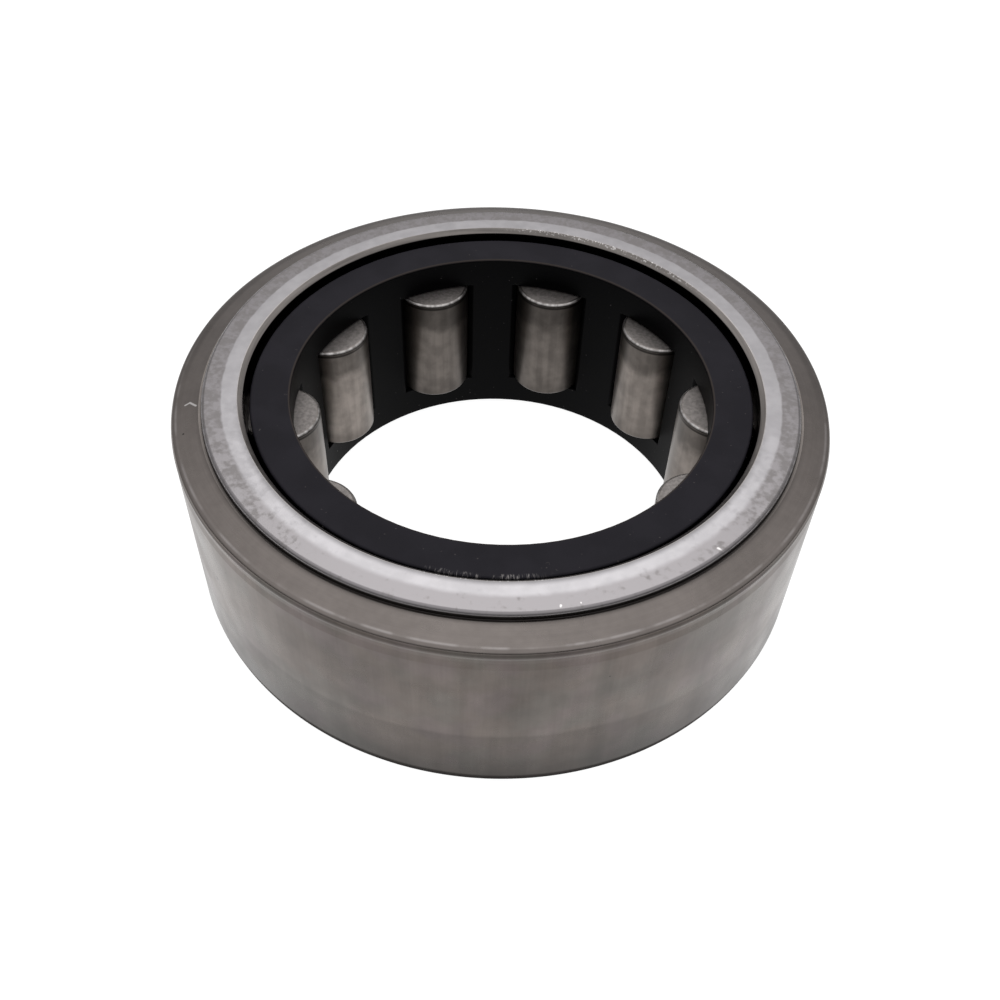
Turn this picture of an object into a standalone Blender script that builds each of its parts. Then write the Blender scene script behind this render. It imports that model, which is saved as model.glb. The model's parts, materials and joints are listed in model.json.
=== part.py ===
"""Cylindrical roller bearing without an inner ring: outer ring, moulded cage and ten rollers.

The rollers run straight on the shaft. The outer ring has two integral lips that hold the
rollers endways, and the cage is one moulded piece whose pockets hold the rollers inwards.
The frame stands on the ring's plain face: origin on the axis at that face, +Z up the axis
towards the face with the raised land. Lengths are in millimetres here and in metres in the
meshes.
"""
import math

import bmesh
import bpy
from mathutils import Matrix

MM = 0.001

# Boundary dimensions, the sizes a housing and a shaft are made to.
OUTSIDE_DIAMETER = 72.0
WIDTH = 25.0

# Rollers.
ROLLER_COUNT = 10
ROLLER_DIAMETER = 9.0
ROLLER_LENGTH = 15.0
ROLLER_EDGE = 0.45
FIRST_ROLLER_ANGLE = math.radians(4.2)

# Outer ring: wall behind the raceway, lips and edges.
RACEWAY_WALL = 6.5
LIP_HEIGHT = 1.23
LIP_EDGE = 0.5
RELIEF_DEPTH = 0.3
RELIEF_WIDTH = 0.9

# Lead-in at the plain end, and the rounded rim with its shallow neck at the other end.
LEAD_IN_DEPTH = 1.0
LEAD_IN_HEIGHT = 1.8
RIM_EDGE_DEPTH = 0.5
RIM_EDGE_HEIGHT = 0.75
RIM_NECK_DEPTH = 0.15
RIM_NECK_HEIGHT = 0.5
RIM_NECK_SLOPE = 0.8

# Raised land on the top face and the sloped shoulder that runs from it to the edge.
LAND_WIDTH = 3.7
LAND_STEP = 0.75
LAND_EDGE = 0.4
LAND_FLARE = 0.3
SHOULDER_DROP = 0.6

# Cage: its bars reach inwards past the pitch circle and grip the rollers there, and its two
# rims end a little inside the ring's faces.
BARS_INSIDE_PITCH = 1.62
THROAT_GRIP = 0.15
MOUTH_FLARE = math.radians(35.0)
CAGE_RECESS_TOP = 1.05
CAGE_RECESS_BOTTOM = 0.5
CAGE_EDGE = 0.3

# Running clearances.
RACEWAY_CLEARANCE = 0.1
ROLLER_END_CLEARANCE = 0.1
POCKET_CLEARANCE = 0.1
POCKET_END_CLEARANCE = 0.2
CAGE_CLEARANCE = 0.61

# Facets.
RING_FACETS = 100
ROLLER_FACETS = 32
POCKET_ARC_STEPS = 20
ROUND_STEPS = 3
SMOOTH_ANGLE = math.radians(28.0)

# Sizes that follow from the ones above.
OUTSIDE_RADIUS = OUTSIDE_DIAMETER / 2
MID_HEIGHT = WIDTH / 2
ROLLER_RADIUS = ROLLER_DIAMETER / 2
RACEWAY_RADIUS = OUTSIDE_RADIUS - RACEWAY_WALL
LIP_BORE_RADIUS = RACEWAY_RADIUS - LIP_HEIGHT
PITCH_RADIUS = RACEWAY_RADIUS - RACEWAY_CLEARANCE - ROLLER_RADIUS
CAGE_OUTER_RADIUS = LIP_BORE_RADIUS - CAGE_CLEARANCE
CAGE_BORE_RADIUS = PITCH_RADIUS - BARS_INSIDE_PITCH
POCKET_RADIUS = ROLLER_RADIUS + POCKET_CLEARANCE


def arc(centre, depth, height, start_deg, end_deg, steps):
    """Points of a round or oval edge about a centre, both ends included."""
    points = []
    for i in range(steps + 1):
        angle = math.radians(start_deg + (end_deg - start_deg) * i / steps)
        points.append((centre[0] + depth * math.cos(angle), centre[1] + height * math.sin(angle)))
    return points


def outer_ring_profile():
    """Closed section of the ring, counter-clockwise: bottom face, wall, top face, bore."""
    raceway_half = ROLLER_LENGTH / 2 + ROLLER_END_CLEARANCE
    raceway_low = MID_HEIGHT - raceway_half
    raceway_high = MID_HEIGHT + raceway_half
    relief_radius = RACEWAY_RADIUS + RELIEF_DEPTH
    land_inner = LIP_BORE_RADIUS + LIP_EDGE
    land_outer = land_inner + LAND_WIDTH
    foot_z = WIDTH - LAND_STEP
    rim_z = foot_z - SHOULDER_DROP - RIM_EDGE_HEIGHT
    neck_radius = OUTSIDE_RADIUS - RIM_NECK_DEPTH
    neck_high = rim_z - RIM_NECK_SLOPE
    neck_low = neck_high - RIM_NECK_HEIGHT
    lead_in = (OUTSIDE_RADIUS - LEAD_IN_DEPTH, LEAD_IN_HEIGHT)
    rim = (OUTSIDE_RADIUS - RIM_EDGE_DEPTH, rim_z)
    land_round = (land_outer - LAND_EDGE, WIDTH - LAND_EDGE)

    points = [(LIP_BORE_RADIUS + LIP_EDGE, 0.0)]
    points += arc(lead_in, LEAD_IN_DEPTH, LEAD_IN_HEIGHT, -90, 0, ROUND_STEPS)
    points.append((OUTSIDE_RADIUS, neck_low - RIM_NECK_SLOPE))
    points.append((neck_radius, neck_low))
    points.append((neck_radius, neck_high))
    points += arc(rim, RIM_EDGE_DEPTH, RIM_EDGE_HEIGHT, 0, 90, ROUND_STEPS)
    points.append((land_outer + LAND_FLARE, foot_z))
    points += arc(land_round, LAND_EDGE, LAND_EDGE, 0, 90, ROUND_STEPS)
    points.append((land_inner, WIDTH))
    points.append((LIP_BORE_RADIUS, WIDTH - LIP_EDGE))
    points.append((LIP_BORE_RADIUS, raceway_high))
    points.append((relief_radius, raceway_high))
    points.append((relief_radius, raceway_high - RELIEF_WIDTH / 2))
    points.append((RACEWAY_RADIUS, raceway_high - RELIEF_WIDTH))
    points.append((RACEWAY_RADIUS, raceway_low + RELIEF_WIDTH))
    points.append((relief_radius, raceway_low + RELIEF_WIDTH / 2))
    points.append((relief_radius, raceway_low))
    points.append((LIP_BORE_RADIUS, raceway_low))
    points.append((LIP_BORE_RADIUS, LIP_EDGE))
    return points


def cage_profile():
    """Closed section of the cage blank, with its four edges broken."""
    low = CAGE_RECESS_BOTTOM
    high = WIDTH - CAGE_RECESS_TOP
    inner = CAGE_BORE_RADIUS
    outer = CAGE_OUTER_RADIUS
    return [
        (inner + CAGE_EDGE, low),
        (outer - CAGE_EDGE, low),
        (outer, low + CAGE_EDGE),
        (outer, high - CAGE_EDGE),
        (outer - CAGE_EDGE, high),
        (inner + CAGE_EDGE, high),
        (inner, high - CAGE_EDGE),
        (inner, low + CAGE_EDGE),
    ]


def roller_profile():
    """Section of one roller from the bottom of its axis to the top of it."""
    half = ROLLER_LENGTH / 2
    centre_r = ROLLER_RADIUS - ROLLER_EDGE
    centre_z = half - ROLLER_EDGE
    points = [(0.0, -half)]
    points += arc((centre_r, -centre_z), ROLLER_EDGE, ROLLER_EDGE, -90, 0, ROUND_STEPS)
    points += arc((centre_r, centre_z), ROLLER_EDGE, ROLLER_EDGE, 0, 90, ROUND_STEPS)
    points.append((0.0, half))
    return points


def pocket_outline():
    """Plan of one pocket: an arc round the roller, and a mouth that flares into the bore.

    The arc wraps past the roller's widest place to a throat narrower than the roller, so
    the roller snaps in and can't drop into the bore.
    """
    throat_y = ROLLER_RADIUS - THROAT_GRIP
    throat_angle = 180 - math.degrees(math.asin(throat_y / POCKET_RADIUS))
    centre = (PITCH_RADIUS, 0.0)
    points = arc(centre, POCKET_RADIUS, POCKET_RADIUS, -throat_angle, throat_angle, POCKET_ARC_STEPS)
    inner_x = CAGE_BORE_RADIUS - ROLLER_RADIUS / 2
    inner_y = throat_y + (points[-1][0] - inner_x) * math.tan(MOUTH_FLARE)
    points.append((inner_x, inner_y))
    points.append((inner_x, -inner_y))
    return points


def turned(name, profile, facets, closed):
    """Mesh turned round Z from (r, z) points that run counter-clockwise or bottom to top."""
    bm = bmesh.new()
    columns = []
    for i in range(facets):
        angle = 2 * math.pi * i / facets
        column = []
        for r, z in profile:
            if r == 0.0 and columns:
                column.append(columns[0][len(column)])
                continue
            place = (r * math.cos(angle) * MM, r * math.sin(angle) * MM, z * MM)
            column.append(bm.verts.new(place))
        columns.append(column)
    spans = len(profile) if closed else len(profile) - 1
    for i in range(facets):
        near = columns[i]
        far = columns[(i + 1) % facets]
        for k in range(spans):
            m = (k + 1) % len(profile)
            corners = []
            for vert in (near[k], far[k], far[m], near[m]):
                if vert not in corners:
                    corners.append(vert)
            bm.faces.new(corners)
    return finished_mesh(name, bm)


def extruded(name, outline, low, high):
    """Prism with the given plan, standing from one height to the other."""
    bm = bmesh.new()
    verts = [bm.verts.new((x * MM, y * MM, low * MM)) for x, y in outline]
    base = bm.faces.new(verts)
    grown = bmesh.ops.extrude_face_region(bm, geom=[base])
    risen = [item for item in grown["geom"] if isinstance(item, bmesh.types.BMVert)]
    bmesh.ops.translate(bm, verts=risen, vec=(0.0, 0.0, (high - low) * MM))
    bmesh.ops.recalc_face_normals(bm, faces=bm.faces)
    return finished_mesh(name, bm)


def finished_mesh(name, bm):
    mesh = bpy.data.meshes.new(name)
    bm.to_mesh(mesh)
    bm.free()
    mesh.shade_smooth()
    mesh.set_sharp_from_angle(angle=SMOOTH_ANGLE)
    return mesh


def material(name, color, roughness, metallic):
    mat = bpy.data.materials.new(name)
    mat.use_nodes = True
    shader = mat.node_tree.nodes["Principled BSDF"]
    shader.inputs["Base Color"].default_value = (*color, 1.0)
    shader.inputs["Roughness"].default_value = roughness
    shader.inputs["Metallic"].default_value = metallic
    return mat


def add_object(name, mesh):
    obj = bpy.data.objects.new(name, mesh)
    bpy.context.scene.collection.objects.link(obj)
    return obj


def roller_angle(index):
    return FIRST_ROLLER_ANGLE + 2 * math.pi * index / ROLLER_COUNT


def build_outer_ring():
    """Hardened ring with the raceway ground between its two lips."""
    mesh = turned("outer_ring", outer_ring_profile(), RING_FACETS, True)
    mesh.materials.append(material("ring_steel", (0.36, 0.34, 0.33), 0.34, 1.0))
    add_object("outer_ring", mesh)


def build_cage():
    """Moulded ring with one pocket for each roller."""
    mesh = turned("cage", cage_profile(), RING_FACETS, True)
    mesh.materials.append(material("cage_polymer", (0.020, 0.019, 0.023), 0.5, 0.0))
    cage = add_object("cage", mesh)
    half = ROLLER_LENGTH / 2 + POCKET_END_CLEARANCE
    pocket = extruded("pocket_cutter", pocket_outline(), MID_HEIGHT - half, MID_HEIGHT + half)
    for i in range(ROLLER_COUNT):
        cutter = add_object(f"pocket_cutter_{i + 1:02d}", pocket)
        cutter.rotation_euler.z = roller_angle(i)
        cutter.hide_render = True
        cutter.display_type = "WIRE"
        cut = cage.modifiers.new(f"pocket_{i + 1:02d}", "BOOLEAN")
        cut.operation = "DIFFERENCE"
        cut.solver = "EXACT"
        cut.object = cutter


def build_rollers():
    """One hardened roller in each pocket, standing on its own axis."""
    mesh = turned("roller", roller_profile(), ROLLER_FACETS, False)
    mesh.materials.append(material("roller_steel", (0.40, 0.38, 0.37), 0.25, 1.0))
    for i in range(ROLLER_COUNT):
        turn = Matrix.Rotation(roller_angle(i), 4, "Z")
        stand = Matrix.Translation((PITCH_RADIUS * MM, 0.0, MID_HEIGHT * MM))
        add_object(f"roller_{i + 1:02d}", mesh).matrix_world = turn @ stand


def main():
    for obj in list(bpy.data.objects):
        bpy.data.objects.remove(obj, do_unlink=True)
    build_outer_ring()
    build_cage()
    build_rollers()


main()
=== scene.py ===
# %% [markdown]
# # A cylindrical roller bearing
# This bearing has a heavy outer ring, a black moulded cage and ten rollers. It has no inner ring:
# the rollers run straight on a shaft. Nearly every surface on it was made on a lathe or a
# grinder, so nearly every shape here is a section turned round an axis, and nearly every finish
# changes with the radius and the height. The moving model is already packed. This script loads
# it as a fixed frame and builds the looks round it, one piece for each moving body.

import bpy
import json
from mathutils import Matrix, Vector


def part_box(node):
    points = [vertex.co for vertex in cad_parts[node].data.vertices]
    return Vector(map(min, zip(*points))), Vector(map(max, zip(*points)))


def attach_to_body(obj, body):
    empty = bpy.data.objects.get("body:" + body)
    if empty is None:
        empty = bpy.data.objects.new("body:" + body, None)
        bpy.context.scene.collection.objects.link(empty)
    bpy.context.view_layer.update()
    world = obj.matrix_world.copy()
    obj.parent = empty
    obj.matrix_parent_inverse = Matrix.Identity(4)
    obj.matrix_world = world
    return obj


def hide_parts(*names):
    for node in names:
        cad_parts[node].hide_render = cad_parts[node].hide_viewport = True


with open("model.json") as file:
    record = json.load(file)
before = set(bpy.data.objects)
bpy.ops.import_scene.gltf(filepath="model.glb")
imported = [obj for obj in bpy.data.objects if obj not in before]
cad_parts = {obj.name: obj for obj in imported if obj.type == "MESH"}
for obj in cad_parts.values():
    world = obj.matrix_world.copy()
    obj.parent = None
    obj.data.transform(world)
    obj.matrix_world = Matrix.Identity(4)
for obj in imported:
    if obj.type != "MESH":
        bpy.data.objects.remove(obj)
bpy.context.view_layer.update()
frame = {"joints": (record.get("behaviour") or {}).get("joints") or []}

# %% The rest of the tools
import json
import math

import bmesh
import bpy
from mathutils import Matrix, Vector

MM = 0.001

# %% [markdown]
# ## Sizes
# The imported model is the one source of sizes. The ring's box gives its outside radius and its
# width, the cage's box gives the cage, and each roller's joint gives the axis that it stands on.
# A packed roller has flat sides, so its box is a little narrower than the roller, and the radius
# is written here. The other sizes that a box can't show, such as edges, steps and the bores, are
# given in the cell of the piece they belong to. They are in millimetres, as a maker writes them.

# %% Sizes from the frame
_, ring_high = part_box("outer_ring")
cage_low, cage_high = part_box("cage")
roller_low, roller_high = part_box("roller_01")
RING_RADIUS = ring_high.x / MM
RING_TOP = ring_high.z / MM
CAGE_RADIUS = cage_high.x / MM
CAGE_LOW = cage_low.z / MM
CAGE_TOP = cage_high.z / MM
ROLLER_LOW = roller_low.z / MM
ROLLER_TOP = roller_high.z / MM
ROLLER_AXES = {}
for joint in frame["joints"]:
    if joint["child"].startswith("roller_"):
        ROLLER_AXES[joint["child"]] = Vector(joint["pos_m"])
first_axis = ROLLER_AXES["roller_01"]
PITCH_RADIUS = first_axis.xy.length / MM
FIRST_ANGLE = math.atan2(first_axis.y, first_axis.x)
ROLLER_RADIUS = 4.5
print("ring:", round(RING_RADIUS, 2), "radius,", round(RING_TOP, 2), "wide")
print("cage:", round(CAGE_RADIUS, 2), "radius, from", round(CAGE_LOW, 2), "to", round(CAGE_TOP, 2))
print(len(ROLLER_AXES), "rollers on a pitch radius of", round(PITCH_RADIUS, 2))

# %% [markdown]
# ## Short names for nodes
# The trees that make shapes and the trees that make finishes are both nodes and links. A small
# helper adds a node, sets its options and fills its inputs, with a value or with a link from
# another node, so that each later line reads like one step of a recipe. Nodes could also be
# placed by hand in the editor, but a script can be read from top to bottom and run again.


# %% Node helpers
def step(tree, kind, inputs=(), **options):
    """Adds a node. inputs gives, by name or number, a value or a socket to link."""
    node = tree.nodes.new(kind)
    for name, value in options.items():
        setattr(node, name, value)
    for key, value in dict(inputs).items():
        if isinstance(value, bpy.types.NodeSocket):
            tree.links.new(value, node.inputs[key])
        else:
            node.inputs[key].default_value = value
    return node


def maths(tree, operation, a, b=0.0):
    """One Math node on two numbers or sockets, and its result."""
    return step(tree, "ShaderNodeMath", {0: a, 1: b}, operation=operation).outputs[0]


def product(tree, *factors):
    """All the factors multiplied together."""
    result = factors[0]
    for factor in factors[1:]:
        result = maths(tree, "MULTIPLY", result, factor)
    return result


def vector_maths(tree, operation, a, b=(0.0, 0.0, 0.0)):
    """One Vector Math node on two vectors, and its vector result."""
    return step(tree, "ShaderNodeVectorMath", {0: a, 1: b}, operation=operation).outputs[0]


def scaled(tree, vector, amount):
    """A vector or colour times a number."""
    node = step(tree, "ShaderNodeVectorMath", {0: vector, "Scale": amount}, operation="SCALE")
    return node.outputs[0]


print("node helpers ready")

# %% [markdown]
# ## Recipes and what they grow
# A Geometry Nodes tree is a recipe: the modifier gives it sizes, and it gives back a shape. The
# tree ends by making instances real and setting the material. The result is then copied to a
# plain mesh, which is what travels with a moving body, and the object that grew it is removed.


# %% Recipe helpers
def new_recipe(name, inputs):
    """An empty tree with named inputs: the tree, its given sockets and its end node."""
    tree = bpy.data.node_groups.new(name, "GeometryNodeTree")
    for label, kind in inputs:
        tree.interface.new_socket(label, in_out="INPUT", socket_type="NodeSocket" + kind)
    tree.interface.new_socket("Shape", in_out="OUTPUT", socket_type="NodeSocketGeometry")
    given = step(tree, "NodeGroupInput").outputs
    return tree, given, step(tree, "NodeGroupOutput")


def finish_recipe(tree, shape, material, end):
    """Smooth shading, real geometry in place of instances, and the material."""
    smooth = step(tree, "GeometryNodeSetShadeSmooth", {"Geometry": shape})
    real = step(tree, "GeometryNodeRealizeInstances", {"Geometry": smooth.outputs[0]})
    coated = step(tree, "GeometryNodeSetMaterial", {
        "Geometry": real.outputs[0], "Material": material})
    tree.links.new(coated.outputs[0], end.inputs[0])
    print("recipe", tree.name, "has", len(tree.nodes), "nodes")


def placed(name, mesh):
    """A new object in the scene."""
    obj = bpy.data.objects.new(name, mesh)
    bpy.context.scene.collection.objects.link(obj)
    return obj


def grown(name, tree, sizes, start, polish=None):
    """Runs a recipe on a start mesh and returns an object that holds the plain result."""
    seed = placed(name + "_seed", start)
    modifier = seed.modifiers.new("recipe", "NODES")
    modifier.node_group = tree
    for item in tree.interface.items_tree:
        if item.in_out == "INPUT" and item.name in sizes:
            modifier[item.identifier] = sizes[item.name]
    if polish:
        polish(seed)
    evaluated = seed.evaluated_get(bpy.context.evaluated_depsgraph_get())
    mesh = bpy.data.meshes.new_from_object(evaluated)
    mesh.name = name
    bpy.data.objects.remove(seed)
    return placed(name, mesh)


def even_shading(seed):
    """Weighted normals keep wide faces flat right up to their small rounds."""
    modifier = seed.modifiers.new("shading", "WEIGHTED_NORMAL")
    modifier.weight = 100


def report(piece):
    size = [round(v / MM, 2) for v in piece.dimensions]
    print(piece.name, len(piece.data.polygons), "faces", size)


print("recipe helpers ready")

# %% [markdown]
# ## The turned part
# A ring and a roller are both a section swept round an axis. The section is a line of points,
# each with a radius, a height and the radius of the round that the tool left on that corner.
# Fillet Curve makes the rounds and Curve to Mesh sweeps the section round a circle. The Screw
# modifier would turn a section as well, but a tree keeps the rounds, the number of facets and
# the material together as named inputs, and one tree serves the ring, the cage and the rollers.

# %% The recipe that turns a section
SWEEP_RADIUS = 10.0
MERGE_WITHIN = 0.002


def turning_recipe():
    tree, given, end = new_recipe("turned_part", [
        ("Section", "Geometry"), ("Facets", "Int"), ("Edge Steps", "Int"), ("Finish", "Material")])
    line = step(tree, "GeometryNodeMeshToCurve", {"Mesh": given["Section"]})
    edge = step(tree, "GeometryNodeInputNamedAttribute", {"Name": "edge_radius"}, data_type="FLOAT")
    rounded = step(tree, "GeometryNodeFilletCurve", {
        "Curve": line.outputs[0], "Count": given["Edge Steps"], "Radius": edge.outputs[0],
        "Limit Radius": True}, mode="POLY")
    circle = step(tree, "GeometryNodeCurvePrimitiveCircle", {
        "Resolution": given["Facets"], "Radius": SWEEP_RADIUS * MM}, mode="RADIUS")
    swept = step(tree, "GeometryNodeCurveToMesh", {
        "Curve": circle.outputs[0], "Profile Curve": rounded.outputs[0]})
    closed = step(tree, "GeometryNodeMergeByDistance", {
        "Geometry": swept.outputs[0], "Distance": MERGE_WITHIN * MM})
    finish_recipe(tree, closed.outputs[0], given["Finish"], end)
    return tree


def section(name, corners, closed=True):
    """Corners (radius, height, edge radius) as a line of edges that the recipe can read.

    The sweep adds its own radius and turns the height over. Both are undone here, and the
    corners are taken in reverse so that the faces still look outwards.
    """
    mesh = bpy.data.meshes.new(name)
    corners = corners[::-1]
    points = [((r - SWEEP_RADIUS) * MM, -z * MM, 0.0) for r, z, edge in corners]
    last = len(points) if closed else len(points) - 1
    mesh.from_pydata(points, [(i, (i + 1) % len(points)) for i in range(last)], [])
    edges = mesh.attributes.new("edge_radius", "FLOAT", "POINT")
    edges.data.foreach_set("value", [edge * MM for r, z, edge in corners])
    return mesh


TURNED = turning_recipe()

# %% [markdown]
# ## Where on a turned piece a point is
# A finish starts from three values worked out from Object coordinates: the radius in mm, the
# height in mm, and the direction round the axis. Noise fed with the direction and the height
# makes marks that run up and down a wall, and noise fed with the radius makes rings. A UV map
# could hold the same values, but it would have a seam, and a direction has none.
#
# The direction also paints some shading. The helper `facing` tells the front from the back, and
# some finishes use it to be darker, or more marked, on one side. That is shading held in the
# colour and not wear, so it stays with the ring when the ring or the light is turned.


# %% Finish helpers
def new_finish(name, metallic, roughness, specular=0.5):
    """A new material with its shader. What is the same all over sits on the shader itself."""
    finish = bpy.data.materials.new(name)
    finish.use_nodes = True
    shader = finish.node_tree.nodes["Principled BSDF"]
    shader.inputs["Metallic"].default_value = metallic
    shader.inputs["Roughness"].default_value = roughness
    shader.inputs["Specular IOR Level"].default_value = specular
    return finish, finish.node_tree, shader


def places(tree, centre=(0.0, 0.0, 0.0), turn=0.0):
    """Radius, height, direction round the axis and place in mm. The Mapping node centres them."""
    point = step(tree, "ShaderNodeTexCoord").outputs["Object"]
    local = step(tree, "ShaderNodeMapping", {
        "Vector": point, "Location": centre, "Rotation": (0.0, 0.0, turn)}, vector_type="TEXTURE")
    mm = scaled(tree, local.outputs[0], 1 / MM)
    flat = vector_maths(tree, "MULTIPLY", mm, (1.0, 1.0, 0.0))
    radius = step(tree, "ShaderNodeVectorMath", {0: flat}, operation="LENGTH").outputs["Value"]
    height = step(tree, "ShaderNodeSeparateXYZ", {0: mm}).outputs["Z"]
    return radius, height, vector_maths(tree, "NORMALIZE", flat), mm


def ramp(tree, value, start, stop, bottom=0.0, top=1.0):
    """Goes smoothly from bottom to top while value goes from start to stop."""
    node = step(tree, "ShaderNodeMapRange", {
        "Value": value, "From Min": start, "From Max": stop, "To Min": bottom, "To Max": top},
        interpolation_type="SMOOTHSTEP")
    return node.outputs[0]


def between(tree, amount, bottom, top):
    """Goes smoothly from bottom to top while amount goes from nought to one."""
    return ramp(tree, amount, 0.0, 1.0, bottom, top)


def facing(tree, around, start, full):
    """Nought to one while a direction goes from start to full. The front is -1, the back 1."""
    return ramp(tree, step(tree, "ShaderNodeSeparateXYZ", {0: around}).outputs["Y"], start, full)


def band(tree, value, low, high, soft):
    """One between low and high and nought outside, with soft sides."""
    return product(tree, ramp(tree, value, low - soft, low + soft),
                   ramp(tree, value, high + soft, high - soft))


def noise(tree, place, size, detail, seed):
    """Noise with a fixed seed, and blotches of about the size in the place's own unit."""
    node = step(tree, "ShaderNodeTexNoise", {
        "Vector": place, "W": seed, "Scale": 1 / size, "Detail": detail}, noise_dimensions="4D")
    return node.outputs["Fac"]


def marks(tree, around, across, turns, per_mm, detail=3.0, seed=0.0):
    """Stretched noise: turns is how often it changes in a radian, per_mm how often in a mm."""
    rise = step(tree, "ShaderNodeCombineXYZ", {"Z": maths(tree, "MULTIPLY", across, per_mm)})
    spot = vector_maths(tree, "ADD", scaled(tree, around, turns), rise.outputs[0])
    return noise(tree, spot, 1.0, detail, seed)


def tint(tree, amount, under, over):
    """Two colours, or colour sockets, mixed by an amount."""
    node = step(tree, "ShaderNodeMix", data_type="RGBA")
    for index, value in ((0, amount), (6, under), (7, over)):
        if isinstance(value, bpy.types.NodeSocket):
            tree.links.new(value, node.inputs[index])
        else:
            node.inputs[index].default_value = (*value, 1.0)
    return node.outputs[2]


def uneven(tree, mm, size, spread, seed, detail=4.0):
    """A factor near one that wanders by the spread, in blotches of the size in mm."""
    return ramp(tree, noise(tree, mm, size, detail, seed), 0.34, 0.66, 1 - spread, 1 + spread)


def relief(tree, shader, height, depth):
    """Bump from a height of 0 to 1 that stands for depth in mm."""
    bump = step(tree, "ShaderNodeBump", {"Height": height, "Distance": depth * MM})
    tree.links.new(bump.outputs[0], shader.inputs["Normal"])


print("finish helpers ready")

# %% [markdown]
# ## The outer ring's shape
# From outside to inside: a plain end with a lead-in that helps the ring into its housing, the
# ground wall, a shallow neck under a rounded rim, a shoulder that slopes up to a small groove,
# the raised land, the lip, and the raceway between its two grinding reliefs. Each is one or two
# corners of the section, and the third number is the round on that corner.

# %% Outer ring section
LIP_BORE = 28.27
LIP_EDGE = 0.5
LAND_WIDTH = 3.85
LAND_STEP = 0.75
SHOULDER_DROP = 0.6
LEAD_IN_DEPTH = 1.0
LEAD_IN_HEIGHT = 1.8
RIM_EDGE = 0.5
NECK_DEPTH = 0.12
NECK_START = 21.0
NECK_LOW = 21.9
NECK_TOP = 22.4
NECK_END = 22.9
RACEWAY = 29.5
RELIEF_DEPTH = 0.3
RELIEF_WIDTH = 0.9
END_PLAY = 0.1

LAND_INNER = LIP_BORE + LIP_EDGE
LAND_OUTER = LAND_INNER + LAND_WIDTH
FOOT = RING_TOP - LAND_STEP
RIM = FOOT - SHOULDER_DROP
RELIEF = RACEWAY + RELIEF_DEPTH
RACE_LOW = ROLLER_LOW - END_PLAY
RACE_TOP = ROLLER_TOP + END_PLAY

ring_section = [
    (LAND_INNER, 0.0, 0.12),
    (RING_RADIUS - LEAD_IN_DEPTH, 0.0, 0.6), (RING_RADIUS - 0.3, 0.5, 1.2),
    (RING_RADIUS, LEAD_IN_HEIGHT, 2.0),
    (RING_RADIUS, NECK_START, 1.0), (RING_RADIUS - NECK_DEPTH, NECK_LOW, 0.6),
    (RING_RADIUS - NECK_DEPTH, NECK_TOP, 0.5), (RING_RADIUS, NECK_END, 0.4),
    (RING_RADIUS, RIM - RIM_EDGE, 0.45), (RING_RADIUS - 0.12, RIM - 0.13, 0.35),
    (RING_RADIUS - RIM_EDGE, RIM, 0.35),
    (LAND_OUTER + 0.35, FOOT - 0.02, 0.1), (LAND_OUTER + 0.05, FOOT - 0.05, 0.05),
    (LAND_OUTER, RING_TOP, 0.45),
    (LAND_INNER, RING_TOP, 0.12), (LIP_BORE, RING_TOP - LIP_EDGE, 0.12),
    (LIP_BORE, RACE_TOP, 0.1), (RELIEF, RACE_TOP, 0.12),
    (RELIEF, RACE_TOP - RELIEF_WIDTH / 2, 0.2), (RACEWAY, RACE_TOP - RELIEF_WIDTH, 0.3),
    (RACEWAY, RACE_LOW + RELIEF_WIDTH, 0.3), (RELIEF, RACE_LOW + RELIEF_WIDTH / 2, 0.2),
    (RELIEF, RACE_LOW, 0.12), (LIP_BORE, RACE_LOW, 0.1),
    (LIP_BORE, LIP_EDGE, 0.12),
]
print("the ring's section has", len(ring_section), "corners")

# %% [markdown]
# ## The wall's finish
# The wall was ground, and has dulled with handling: cloudy patches that lean to grey or to
# mauve, faint streaks up and down, and a lighter belt at mid height where a grinding pass ended.
# Each of these is a factor, and the colour is multiplied by them all, because real causes add up
# in that way. Four factors are painted shading and not wear: a dark line of painted shade under
# the rim, two that darken the foot, and one that darkens the front.

# %% Wall
WALL = (0.149, 0.127, 0.114)
WALL_GREY = (0.143, 0.129, 0.117)
WALL_MAUVE = (0.156, 0.132, 0.125)
PASS_START = 9.0
PASS_END = 9.8
BELT_END = 11.0
BELT_FADE = 17.0
# The painted shade under the rim lies between these two heights.
RIM_SHADE_LOW = 22.95
RIM_SHADE_TOP = 23.35


def wall_colour(tree, height, around, mm):
    wander = ramp(tree, noise(tree, mm, 12.0, 3.0, 4.0), 0.3, 0.7, -0.3, 0.3)
    rising = maths(tree, "ADD", height, wander)
    belt = product(tree, ramp(tree, rising, PASS_START, PASS_END),
                   ramp(tree, rising, BELT_FADE, BELT_END))
    light = product(
        tree,
        uneven(tree, mm, 8.0, 0.10, 0.0),
        uneven(tree, mm, 1.6, 0.05, 2.0),
        ramp(tree, marks(tree, around, height, 16.0, 0.03), 0.34, 0.66, 0.91, 1.07),
        ramp(tree, marks(tree, around, height, 120.0, 0.15, seed=3.0), 0.3, 0.7, 0.97, 1.03),
        ramp(tree, rising, PASS_START, PASS_END, 0.86, 1.0),
        between(tree, belt, 1.0, 1.09),
        # Painted shade: a dark line under the rim.
        between(tree, band(tree, height, RIM_SHADE_LOW, RIM_SHADE_TOP, 0.15), 1.0, 0.68),
        ramp(tree, height, -1.0, PASS_START, 0.37, 1.0),
        ramp(tree, height, 0.2, 2.2, 0.45, 1.0),
        between(tree, facing(tree, around, -0.55, -1.0), 1.0, 0.87),
    )
    grey = ramp(tree, noise(tree, mm, 6.5, 3.0, 7.0), 0.42, 0.60)
    mauve = ramp(tree, noise(tree, mm, 5.0, 3.0, 8.0), 0.48, 0.64)
    colour = tint(tree, mauve, tint(tree, grey, WALL, WALL_GREY), WALL_MAUVE)
    return scaled(tree, colour, light)


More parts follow.
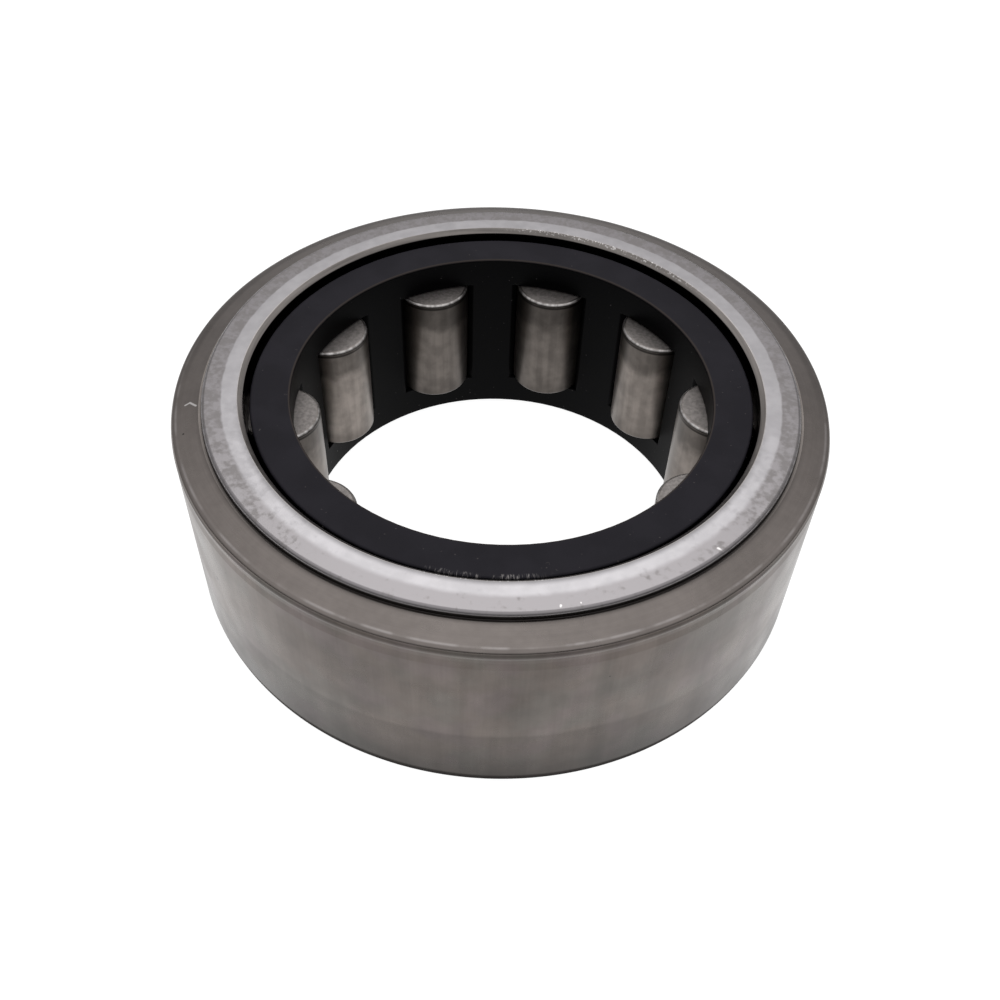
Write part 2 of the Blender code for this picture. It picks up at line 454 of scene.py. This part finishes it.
# %% [markdown]
# ## The land's finish
# The land is ground bright near the bore. Further out the wheel only half cleaned it up, so it
# is duller and mottled there, with short marks across it. Where the two meet is almost a true
# circle. Three noises of different size are averaged for the wear, because one alone looks
# like clouds and not like metal. At the front the inner edge is shaded down and the dull part is
# lighter and smoother, which is painted there by direction.

# %% Land
LAND_BRIGHT = (0.352, 0.342, 0.350)
LAND_WORN = (0.250, 0.238, 0.242)
LAND_DULL = (0.196, 0.185, 0.183)
BRIGHT_TO = 30.5


def land_colour(tree, radius, around, mm):
    """The colour, and how worn the outer part is."""
    front = facing(tree, around, 0.0, -0.9)
    wander = ramp(tree, noise(tree, mm, 1.2, 4.0, 31.0), 0.3, 0.7, -0.05, 0.05)
    meeting = maths(tree, "ADD", radius, wander)
    soft = between(tree, front, 0.12, 0.36)
    outside = ramp(tree, meeting, maths(tree, "SUBTRACT", BRIGHT_TO, soft),
                   maths(tree, "ADD", BRIGHT_TO, soft))
    across = marks(tree, around, radius, 70.0, 1.4, 4.0, 41.0)
    fine = noise(tree, mm, 0.55, 5.0, 51.0)
    broad = noise(tree, mm, 1.9, 3.0, 53.0)
    wear = maths(tree, "ADD", product(tree, across, 0.24),
                 maths(tree, "ADD", product(tree, fine, 0.38), product(tree, broad, 0.38)))
    wear = maths(tree, "ADD", wear, product(tree, facing(tree, around, -0.4, -0.95), 0.10))
    worn = ramp(tree, wear, 0.43, 0.58)
    rolled = ramp(tree, radius, LAND_INNER - 0.1, LAND_INNER + 0.75, 0.40, 1.0)
    lost = product(tree, front, maths(tree, "SUBTRACT", 1.0, rolled))
    edge = maths(tree, "SUBTRACT", 1.0, lost)
    bright = scaled(tree, LAND_BRIGHT, product(tree, edge, uneven(tree, mm, 1.6, 0.06, 61.0)))
    return tint(tree, outside, bright, tint(tree, worn, LAND_DULL, LAND_WORN)), worn


# %% [markdown]
# ## The lip, and single marks
# The lip's edge is dull, with bright burrs where a tool touched it: a ragged run on the far side
# and short ticks at the front. Use has left a few single marks, a scratch on the shoulder, dark
# specks, and bright nicks on the land's corner. Each is placed by its radius, its angle and its
# height, and a scratch is the distance to a short line. The lip's edge is also shaded darker
# at the back.

# %% Lip and marks
LIP = (0.280, 0.260, 0.243)
LIP_SHADE = (0.018, 0.016, 0.015)
BURR = (0.600, 0.585, 0.570)
# Dark specks, and the painted shade at the land's foot and in its corner.
GRIME_AND_SHADE = (0.040, 0.036, 0.034)


def polar(radius, degrees, height=0.0):
    angle = math.radians(degrees)
    return Vector((radius * math.cos(angle), radius * math.sin(angle), height))


def near(tree, place, target, full, fade):
    """One within the distance full of a target, and nought beyond fade."""
    away = step(tree, "ShaderNodeVectorMath", {0: place, 1: target}, operation="DISTANCE")
    return ramp(tree, away.outputs["Value"], fade, full)


def scratch(tree, mm, start, stop, width):
    """One on a line from start to stop, and nought at half a width from it."""
    run = stop - start
    offset = vector_maths(tree, "SUBTRACT", mm, start)
    along = step(tree, "ShaderNodeVectorMath", {
        0: offset, 1: run / run.length_squared}, operation="DOT_PRODUCT").outputs["Value"]
    share = step(tree, "ShaderNodeClamp", {"Value": along}).outputs[0]
    away = vector_maths(tree, "SUBTRACT", offset, scaled(tree, run, share))
    length = step(tree, "ShaderNodeVectorMath", {0: away}, operation="LENGTH").outputs["Value"]
    return ramp(tree, length, width / 2, width / 6)


def lip_colour(tree, radius, height, around, mm):
    far = near(tree, around, polar(1.0, 63), 0.30, 0.52)
    front = near(tree, around, polar(1.0, -91), 0.16, 0.34)
    ticks = ramp(tree, marks(tree, around, height, 170.0, 0.7, 3.0, 71.0), 0.53, 0.62)
    ragged = ramp(tree, noise(tree, mm, 0.24, 4.0, 73.0), 0.55, 0.62)
    burrs = maths(tree, "MAXIMUM", product(tree, ticks, front),
                  product(tree, ragged, far, ramp(tree, radius, 28.4, 28.6)))
    light = ramp(tree, marks(tree, around, radius, 3.0, 3.0, 3.0, 79.0), 0.3, 0.7, 0.75, 1.2)
    light = product(tree, light, between(tree, facing(tree, around, 0.9, 0.3), 0.7, 1.2))
    edge = tint(tree, burrs, scaled(tree, LIP, light), BURR)
    # Below its edge the lip's bore is painted near black: painted shade, with an oil film.
    return tint(tree, ramp(tree, height, RING_TOP - 0.45, RING_TOP - 0.65), edge, LIP_SHADE)


SCRATCHES = [
    (polar(34.42, -170.9, 23.91), polar(33.91, -171.3, 24.02), 0.30),
    (polar(33.91, -171.3, 24.02), polar(33.24, -170.1, 24.17), 0.34),
    (polar(31.85, -48.2, 25.0), polar(32.35, -48.0, 24.8), 0.36),
    (polar(31.9, -79.0, 25.0), polar(32.4, -79.3, 24.75), 0.30),
    (polar(31.9, -75.6, 25.0), polar(32.4, -75.7, 24.75), 0.18),
]
SPECKS = [
    (polar(34.66, -163.6, 23.86), 0.16),
    (polar(36.0, -142.9, 14.9), 0.34),
    (polar(36.0, -151.6, 9.0), 0.22),
    (polar(36.0, -147.4, 11.1), 0.16),
    (polar(36.0, -138.3, 18.6), 0.14),
    (polar(36.0, -72.0, 18.2), 0.12),
]
print(len(SCRATCHES), "scratches and nicks,", len(SPECKS), "specks")

# %% [markdown]
# ## One steel for the whole ring
# One material holds all of the ring's finishes, and the radius and the height choose between
# them. Separate materials would meet at a hard line along a row of faces, and the real finishes
# run into each other at their edges. By direction again, the shoulder is shaded round the back,
# a patchy painted highlight lies along the rim's edge only at the front and sides, and painted
# shade at the land's foot is strongest at the front. A thin line of painted shade also lies in
# the corner at the land's foot.

# %% Ring finish
SHOULDER = (0.176, 0.158, 0.146)
# The colour of the painted highlight along the rim's edge.
RIM_HIGHLIGHT = (0.310, 0.290, 0.280)
PLAIN_END = (0.250, 0.240, 0.234)
RACE = (0.360, 0.345, 0.335)


def shoulder_colour(tree, radius, around, mm):
    """Turned, with the faint rings of the tool, and shaded round the back near the rim."""
    rings = ramp(tree, marks(tree, around, radius, 1.6, 6.0, 3.0, 11.0), 0.3, 0.7, 0.965, 1.03)
    back = product(tree, facing(tree, around, -0.3, 0.3), ramp(tree, radius, 34.2, 35.2))
    light = product(
        tree, rings,
        between(tree, back, 1.0, 0.72),
        uneven(tree, mm, 6.0, 0.06, 21.0),
        uneven(tree, mm, 0.8, 0.03, 23.0),
    )
    return scaled(tree, SHOULDER, light)


def ring_finish():
    finish, tree, shader = new_finish("ring_steel_worked", 1.0, 0.3)
    radius, height, around, mm = places(tree)
    on_top = ramp(tree, height, RIM - 0.35, RIM - 0.1)
    colour = tint(tree, on_top, wall_colour(tree, height, around, mm),
                  shoulder_colour(tree, radius, around, mm))

    patchy = ramp(tree, marks(tree, around, height, 14.0, 0.1, 3.0, 25.0), 0.4, 0.62, 0.1, 0.75)
    # A patchy painted highlight along the rim's edge, at the front and sides only.
    rim_edge = band(tree, radius, RING_RADIUS - 0.70, RING_RADIUS - 0.46, 0.1)
    front = facing(tree, around, 0.3, -0.3)
    colour = tint(tree, product(tree, rim_edge, on_top, patchy, front), colour, RIM_HIGHLIGHT)

    # Painted shade at the land's foot, strongest at the front.
    foot = ramp(tree, radius, LAND_OUTER + 1.0, LAND_OUTER + 0.1)
    strength = between(tree, facing(tree, around, 0.1, -0.8), 0.12, 0.9)
    colour = tint(tree, product(tree, foot, foot, on_top, strength), colour, GRIME_AND_SHADE)
    # A thin line of painted shade in the corner at the land's foot.
    corner = product(tree, band(tree, radius, LAND_OUTER - 0.02, LAND_OUTER + 0.10, 0.05),
                     ramp(tree, height, RING_TOP - 0.3, RING_TOP - 0.6), 0.7)
    colour = tint(tree, corner, colour, GRIME_AND_SHADE)

    land, worn = land_colour(tree, radius, around, mm)
    on_land = product(tree, ramp(tree, height, RING_TOP - 0.5, RING_TOP - 0.2),
                      ramp(tree, radius, LAND_OUTER + 0.12, LAND_OUTER - 0.05))
    colour = tint(tree, on_land, colour, land)
    on_lip = ramp(tree, radius, LAND_INNER + 0.13, LAND_INNER - 0.05)
    colour = tint(tree, on_lip, colour, lip_colour(tree, radius, height, around, mm))
    in_race = product(tree, band(tree, height, RACE_LOW, RACE_TOP, 0.05),
                      ramp(tree, radius, RELIEF + 0.2, RELIEF + 0.1))
    colour = tint(tree, in_race, colour, RACE)
    end_face = scaled(tree, PLAIN_END, uneven(tree, mm, 1.6, 0.08, 65.0))
    colour = tint(tree, ramp(tree, height, 0.03, 0.005), colour, end_face)

    for place, size in SPECKS:
        colour = tint(tree, near(tree, mm, place, size * 0.4, size), colour, GRIME_AND_SHADE)
    for start, stop, width in SCRATCHES:
        colour = tint(tree, scratch(tree, mm, start, stop, width), colour, BURR)
    tree.links.new(colour, shader.inputs["Base Color"])

    plain = ramp(tree, noise(tree, mm, 5.0, 3.0, 81.0), 0.3, 0.7, 0.25, 0.34)
    ground = between(tree, worn, 0.38, 0.28)
    rough = step(tree, "ShaderNodeMix", {0: on_land, 2: plain, 3: ground}, data_type="FLOAT")
    turned = maths(tree, "MAXIMUM", ramp(tree, height, 2.4, 1.5, 0.0, 0.95),
                   product(tree, band(tree, height, 22.6, RIM - 0.3, 0.3), 0.55))
    rough = maths(tree, "MAXIMUM", rough.outputs[0], turned)
    tree.links.new(rough, shader.inputs["Roughness"])
    grain = marks(tree, around, height, 160.0, 0.4, 3.0, 91.0)
    rings = marks(tree, around, radius, 1.5, 8.0, 3.0, 95.0)
    relief(tree, shader, product(tree, maths(tree, "ADD", grain, rings), 0.5), 0.004)
    print(finish.name, "has", len(tree.nodes), "nodes")
    return finish


# %% Outer ring
RING_FACETS = 360
EDGE_STEPS = 4
outer_ring = grown("outer_ring_turned", TURNED, {
    "Facets": RING_FACETS, "Edge Steps": EDGE_STEPS, "Finish": ring_finish(),
}, section("ring_section", ring_section), even_shading)
report(outer_ring)

# %% [markdown]
# ## The rollers
# Each roller is hardened steel, ground all over, with a small round at each end. Running has
# made the body patchy, with soft streaks along it. Darker bands near the ends and a dark line
# under the top round are painted reflection of the dark cage, and a patchy painted highlight lies
# on the round at the top. All ten have one shape, so one section serves them. Each gets its
# own plain mesh, because each turns on its own axis, and its own copy of the finish, centred on
# that axis and with its own seed and tone, so that no two are alike. Two of them, which stand at
# the back at rest, are a third darker. That is painted shading as well, and they carry it with
# them when the cage turns. Some of the other tones are partly painted light too.

# %% Roller finish
ROLLER_STEEL = (0.190, 0.168, 0.152)
ROLLER_END = (0.270, 0.252, 0.240)
# The colour of the painted highlight on the round at the top.
ROLLER_TOP_HIGHLIGHT = (0.680, 0.660, 0.640)
ROLLER_EDGE = 0.45
# Tones per roller, partly random and partly painted light. The two at 0.66 are painted shade.
ROLLER_TONES = (1.0, 1.06, 0.66, 0.66, 1.14, 1.0, 0.9, 1.1, 0.95, 1.0)
ROLLER_FACETS = 96
ROLLER_EDGE_STEPS = 6
BODY_ROUGHNESS = 0.38
END_ROUGHNESS = 0.62


def roller_finish(index, axis):
    finish, tree, shader = new_finish(f"roller_steel_ground_{index:02d}", 1.0, BODY_ROUGHNESS)
    radius, height, around, mm = places(tree, (axis.x, axis.y, 0.0), index * 1.3)
    seed = index * 5.0
    wander = ramp(tree, noise(tree, mm, 2.0, 3.0, seed + 4.0), 0.3, 0.7, -0.5, 0.5)
    level = maths(tree, "ADD", height, wander)
    top_line = band(tree, height, ROLLER_TOP - 0.76, ROLLER_TOP - 0.46, 0.08)
    light = product(
        tree, ROLLER_TONES[index - 1],
        ramp(tree, marks(tree, around, height, 5.0, 0.1, 4.0, seed), 0.32, 0.68, 0.87, 1.13),
        uneven(tree, mm, 1.8, 0.14, seed + 1.0),
        # Painted reflection of the dark cage: darker near the bottom, over the top part, and in a
        # line under the top round.
        ramp(tree, level, ROLLER_LOW + 0.2, ROLLER_LOW + 3.2, 0.74, 1.0),
        ramp(tree, level, ROLLER_TOP - 4.8, ROLLER_TOP - 3.0, 1.0, 0.55),
        between(tree, top_line, 1.0, 0.25),
    )
    body = scaled(tree, ROLLER_STEEL, light)
    at_end = maths(tree, "MAXIMUM", ramp(tree, height, ROLLER_TOP - 0.1, ROLLER_TOP - 0.05),
                   ramp(tree, height, ROLLER_LOW + 0.1, ROLLER_LOW + 0.05))
    inside = ramp(tree, radius, ROLLER_RADIUS - 0.3, ROLLER_RADIUS - ROLLER_EDGE)
    on_end = product(tree, at_end, inside)
    end_face = scaled(tree, ROLLER_END, uneven(tree, mm, 0.4, 0.18, seed + 2.0, 5.0))
    colour = tint(tree, on_end, body, end_face)
    # A patchy painted highlight on the round at the top.
    top_highlight = product(
        tree, band(tree, height, ROLLER_TOP - 0.28, ROLLER_TOP - 0.06, 0.06),
        ramp(tree, radius, ROLLER_RADIUS - 0.5, ROLLER_RADIUS - 0.4),
        ramp(tree, marks(tree, around, height, 7.0, 0.5, 4.0, seed + 5.0), 0.36, 0.62, 0.4, 1.0))
    colour = tint(tree, top_highlight, colour, ROLLER_TOP_HIGHLIGHT)
    tree.links.new(colour, shader.inputs["Base Color"])
    rough = between(tree, on_end, BODY_ROUGHNESS, END_ROUGHNESS)
    tree.links.new(rough, shader.inputs["Roughness"])
    relief(tree, shader, marks(tree, around, height, 3.0, 9.0, 2.0, seed + 3.0), 0.002)
    return finish


# %% Rollers
half = (ROLLER_TOP - ROLLER_LOW) / 2
roller_section = [
    (0.0, -half, 0.0), (ROLLER_RADIUS, -half, ROLLER_EDGE),
    (ROLLER_RADIUS, half, ROLLER_EDGE), (0.0, half, 0.0),
]
rollers = {}
for index, (name, axis) in enumerate(ROLLER_AXES.items(), start=1):
    piece = grown(name + "_ground", TURNED, {
        "Facets": ROLLER_FACETS, "Edge Steps": ROLLER_EDGE_STEPS,
        "Finish": roller_finish(index, axis),
    }, section("roller_section", roller_section, closed=False), even_shading)
    piece.data.transform(Matrix.Translation(axis))
    rollers[name] = piece
report(piece)

# %% [markdown]
# ## The cage
# The cage is one moulding: a ring with a pocket for each roller. A pocket wraps past the
# roller's widest place to a throat that is a little narrower than the roller, and flares into
# the bore, so a roller snaps in and can't drop out. The recipe copies one pocket cutter round
# the axis and takes all the copies out of a turned blank with one Boolean. Modelling a bar
# and repeating it would work too, but then the bars would have to be joined to the rims.
# The blank is turned with the pockets and has 100 facets, so that a pocket's edge falls a
# quarter of the way across a facet. With 120 it fell almost on a facet's edge, and the sliver
# beside it left no room to round the pocket's edges. Two extra rows of points, just below and
# just above the pockets, keep the tall faces beside a pocket from running on into the rims as
# thin wedges.

# %% Cage sizes
CAGE_BORE = 23.28
CAGE_EDGE = 0.3
CAGE_FACETS = 100
POCKET_RADIUS = ROLLER_RADIUS + 0.1
POCKET_LOW = ROLLER_LOW - 0.2
POCKET_TOP = ROLLER_TOP + 0.2
THROAT = ROLLER_RADIUS - 0.15
MOUTH_FLARE = math.radians(35)
POCKET_EDGE = 0.3
POCKET_STEPS = 24
ROW_GAP = 0.5


def pocket_outline():
    """Plan of a pocket: an arc round the roller, and the mouth that flares into the bore."""
    wrap = math.pi - math.asin(THROAT / POCKET_RADIUS)
    points = []
    for i in range(2 * POCKET_STEPS + 1):
        angle = wrap * (i / POCKET_STEPS - 1)
        x = PITCH_RADIUS + POCKET_RADIUS * math.cos(angle)
        points.append((x, POCKET_RADIUS * math.sin(angle)))
    inner = CAGE_BORE - ROLLER_RADIUS / 2
    side = THROAT + (points[-1][0] - inner) * math.tan(MOUTH_FLARE)
    return points + [(inner, side), (inner, -side)]


def pocket_cutter():
    """The pocket's plan, stood up from just under the roller to just over it."""
    low = POCKET_LOW * MM
    rise = (POCKET_TOP - POCKET_LOW) * MM
    shape = bmesh.new()
    plan = shape.faces.new([shape.verts.new((x * MM, y * MM, low)) for x, y in pocket_outline()])
    lifted = bmesh.ops.extrude_face_region(shape, geom=[plan])["geom"]
    corners = [part for part in lifted if isinstance(part, bmesh.types.BMVert)]
    bmesh.ops.translate(shape, verts=corners, vec=(0.0, 0.0, rise))
    bmesh.ops.recalc_face_normals(shape, faces=shape.faces)
    mesh = bpy.data.meshes.new("pocket_cutter")
    shape.to_mesh(mesh)
    shape.free()
    return placed("pocket_cutter", mesh)


print("pocket plan has", len(pocket_outline()), "corners")


# %% The recipe that cuts the pockets
def pocket_recipe():
    tree, given, end = new_recipe("pocketed_ring", [
        ("Blank", "Geometry"), ("Cutter", "Object"), ("Pockets", "Int"),
        ("First Angle", "Float"), ("Finish", "Material")])
    cutter = step(tree, "GeometryNodeObjectInfo", {"Object": given["Cutter"]})
    points = step(tree, "GeometryNodePoints", {"Count": given["Pockets"]})
    number = step(tree, "GeometryNodeInputIndex").outputs[0]
    share = maths(tree, "DIVIDE", number, given["Pockets"])
    angle = maths(tree, "ADD", maths(tree, "MULTIPLY", share, math.tau), given["First Angle"])
    turn = step(tree, "ShaderNodeCombineXYZ", {"Z": angle})
    copies = step(tree, "GeometryNodeInstanceOnPoints", {
        "Points": points.outputs[0], "Instance": cutter.outputs["Geometry"],
        "Rotation": turn.outputs[0]})
    solid = step(tree, "GeometryNodeRealizeInstances", {"Geometry": copies.outputs[0]})
    cut = step(tree, "GeometryNodeMeshBoolean", {
        "Mesh 1": given["Blank"], "Mesh 2": solid.outputs[0]},
        operation="DIFFERENCE", solver="EXACT")
    finish_recipe(tree, cut.outputs[0], given["Finish"], end)
    return tree


def broken_edges(seed):
    """Rounds the edges that the cutters left sharp, then evens the shading."""
    modifier = seed.modifiers.new("edges", "BEVEL")
    modifier.width = POCKET_EDGE * MM
    modifier.segments = 3
    modifier.limit_method = "ANGLE"
    modifier.angle_limit = math.radians(40)
    even_shading(seed)


# %% [markdown]
# ## The cage's finish
# The moulding is black. Its end faces are a soft charcoal with a touch of violet. Everything
# else, the bore, the pockets and the outside, is near black: the black of the moulding deepened
# by painted shade. A thin brown painted highlight lies on top along the bore's edge. There are a
# few pale specks, and short pale scuffs at the front of the outer edge, where a tool slipped. The
# gloss is low and the same all over.

# %% Cage finish
CAGE_FACE = (0.0185, 0.0175, 0.0218)
# Near black: the moulding's black deepened by painted shade.
CAGE_INSIDE = (0.0012, 0.0012, 0.0015)
SPECK = (0.060, 0.055, 0.055)
# The colour of the painted highlight along the bore's edge.
BORE_EDGE_HIGHLIGHT = (0.050, 0.042, 0.038)
SCUFF = (0.260, 0.245, 0.238)


def cage_finish():
    finish, tree, shader = new_finish("cage_polymer_moulded", 0.0, 0.42, 0.04)
    radius, height, around, mm = places(tree)
    on_end = maths(tree, "ADD", ramp(tree, height, CAGE_TOP - 0.25, CAGE_TOP - 0.05),
                   ramp(tree, height, CAGE_LOW + 0.25, CAGE_LOW + 0.05))
    face = scaled(tree, CAGE_FACE, uneven(tree, mm, 4.0, 0.1, 5.0))
    colour = tint(tree, on_end, CAGE_INSIDE, face)
    pale = ramp(tree, noise(tree, mm, 0.35, 1.0, 9.0), 0.74, 0.80)
    colour = tint(tree, pale, colour, SPECK)
    # A thin brown painted highlight along the bore's edge on top.
    edge = product(tree, band(tree, radius, CAGE_BORE + 0.06, CAGE_BORE + 0.22, 0.06),
                   ramp(tree, height, CAGE_TOP - 0.45, CAGE_TOP - 0.25))
    colour = tint(tree, edge, colour, BORE_EDGE_HIGHLIGHT)
    scuffs = product(
        tree, ramp(tree, marks(tree, around, radius, 230.0, 1.2, 4.0, 71.0), 0.51, 0.63),
        ramp(tree, noise(tree, mm, 1.1, 2.0, 17.0), 0.38, 0.56),
        near(tree, around, polar(1.0, -92), 0.11, 0.25),
        band(tree, radius, CAGE_RADIUS - 0.5, CAGE_RADIUS, 0.15), on_end)
    colour = tint(tree, scuffs, colour, SCUFF)
    tree.links.new(colour, shader.inputs["Base Color"])
    relief(tree, shader, noise(tree, mm, 0.25, 3.0, 15.0), 0.006)
    return finish


# %% Cage
cage_plastic = cage_finish()
cage_section = [
    (CAGE_BORE, CAGE_LOW, CAGE_EDGE), (CAGE_RADIUS, CAGE_LOW, CAGE_EDGE),
    (CAGE_RADIUS, POCKET_LOW - ROW_GAP, 0.0), (CAGE_RADIUS, POCKET_TOP + ROW_GAP, 0.0),
    (CAGE_RADIUS, CAGE_TOP, CAGE_EDGE), (CAGE_BORE, CAGE_TOP, CAGE_EDGE),
    (CAGE_BORE, POCKET_TOP + ROW_GAP, 0.0), (CAGE_BORE, POCKET_LOW - ROW_GAP, 0.0),
]
blank = grown("cage_blank", TURNED, {
    "Facets": CAGE_FACETS, "Edge Steps": EDGE_STEPS, "Finish": cage_plastic,
}, section("cage_section", cage_section))
blank.data.transform(Matrix.Rotation(FIRST_ANGLE, 4, "Z"))
cutter = pocket_cutter()
cage = grown("cage_moulded", pocket_recipe(), {
    "Cutter": cutter, "Pockets": len(ROLLER_AXES), "First Angle": FIRST_ANGLE,
    "Finish": cage_plastic}, blank.data, broken_edges)
bpy.data.objects.remove(blank)
bpy.data.objects.remove(cutter)
report(cage)

# %% [markdown]
# ## Pieces and bodies
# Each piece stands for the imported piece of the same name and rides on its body, so that it moves
# when the bearing is posed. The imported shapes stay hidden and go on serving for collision.


# %% Attach the pieces
def attach(piece, name):
    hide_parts(name)
    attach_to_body(piece, name)
    print(piece.name, "rides on", name)


attach(outer_ring, "outer_ring")
attach(cage, "cage")
for name, piece in rollers.items():
    attach(piece, name)

# %% [markdown]
# ## Floor and light
# The bearing stands on a plain white floor that glows a little, which keeps it white in the
# bearing's shade. The sky is pale overhead and dark near the horizon in front, as in a studio
# where the dark room stands behind the camera: bright metal needs something dark to mirror, or
# its edges vanish. One large soft lamp hangs high at the back and lights the land.

# %% Floor
FLOOR_HALF = 3.0
FLOOR_LEVEL = -0.05 * MM
FLOOR_GREY = 0.2
FLOOR_GLOW = 0.97


def white_floor():
    square = ((-1, -1), (1, -1), (1, 1), (-1, 1))
    corners = [(x * FLOOR_HALF, y * FLOOR_HALF, FLOOR_LEVEL) for x, y in square]
    mesh = bpy.data.meshes.new("floor")
    mesh.from_pydata(corners, [], [(0, 1, 2, 3)])
    paint, _, shader = new_finish("floor_white", 0.0, 1.0, 0.0)
    shader.inputs["Base Color"].default_value = (FLOOR_GREY, FLOOR_GREY, FLOOR_GREY, 1.0)
    shader.inputs["Emission Color"].default_value = (1.0, 1.0, 1.0, 1.0)
    shader.inputs["Emission Strength"].default_value = FLOOR_GLOW
    mesh.materials.append(paint)
    placed("floor", mesh)


white_floor()
print("floor laid")


# %% Sky and lamp
def studio_sky():
    world = bpy.data.worlds.new("studio")
    bpy.context.scene.world = world
    world.use_nodes = True
    tree = world.node_tree
    toward = step(tree, "ShaderNodeTexCoord").outputs["Generated"]
    axes = step(tree, "ShaderNodeSeparateXYZ", {0: toward}).outputs
    height = ramp(tree, axes["Z"], 0.35, 0.95, 0.5, 1.05)
    front = ramp(tree, axes["Y"], 0.5, -0.3)
    low = ramp(tree, axes["Z"], 0.6, 0.15)
    dark = product(tree, front, low, 0.85)
    strength = product(tree, height, maths(tree, "SUBTRACT", 1.0, dark))
    background = tree.nodes["Background"]
    tree.links.new(strength, background.inputs["Strength"])
    background.inputs["Color"].default_value = (1.0, 0.985, 1.0, 1.0)


def soft_lamp(name, place, size, brightness):
    """A round lamp that faces the bearing. brightness is what a mirror would show of it."""
    lamp = bpy.data.lights.new(name, "AREA")
    lamp.shape = "DISK"
    lamp.size = size
    lamp.energy = brightness * math.pi * math.pi * size * size / 4
    stand = placed(name, lamp)
    aim = (-Vector(place)).to_track_quat("-Z", "Y").to_matrix().to_4x4()
    stand.matrix_world = Matrix.Translation(place) @ aim
    print(name, round(lamp.energy, 2), "W")


studio_sky()
soft_lamp("lamp_back", (0.0, 0.26, 0.42), 0.38, 1.27)

# %% [markdown]
# ## Camera
# The camera stands close in front and looks down at about 47 degrees with a normal lens, which
# gives the strong foreshortening of a small object held near. It leans by two degrees. Colours
# are shown with the Standard view, so that the white floor stays pure white.

# %% Camera
CAMERA_PLACE = Vector((0.0, -93.57, 106.02)) * MM
LOOK_DOWN = math.radians(47.201)
LOOK_ASIDE = math.radians(0.149)
LEAN = math.radians(2.294)
FOCAL_LENGTH = 40.22
SENSOR_WIDTH = 36.0


def studio_camera():
    lens = bpy.data.cameras.new("camera")
    lens.lens = FOCAL_LENGTH
    lens.sensor_width = SENSOR_WIDTH
    lens.clip_start = 1 * MM
    lens.clip_end = 20.0
    camera = placed("camera", lens)
    turn = Matrix.Rotation(-LOOK_ASIDE, 4, "Z") @ Matrix.Rotation(math.pi / 2 - LOOK_DOWN, 4, "X")
    camera.matrix_world = Matrix.Translation(CAMERA_PLACE) @ turn @ Matrix.Rotation(LEAN, 4, "Z")
    return camera


scene = bpy.context.scene
scene.view_settings.view_transform = "Standard"
scene.camera = studio_camera()
print("camera at", [round(v, 3) for v in scene.camera.matrix_world.translation])
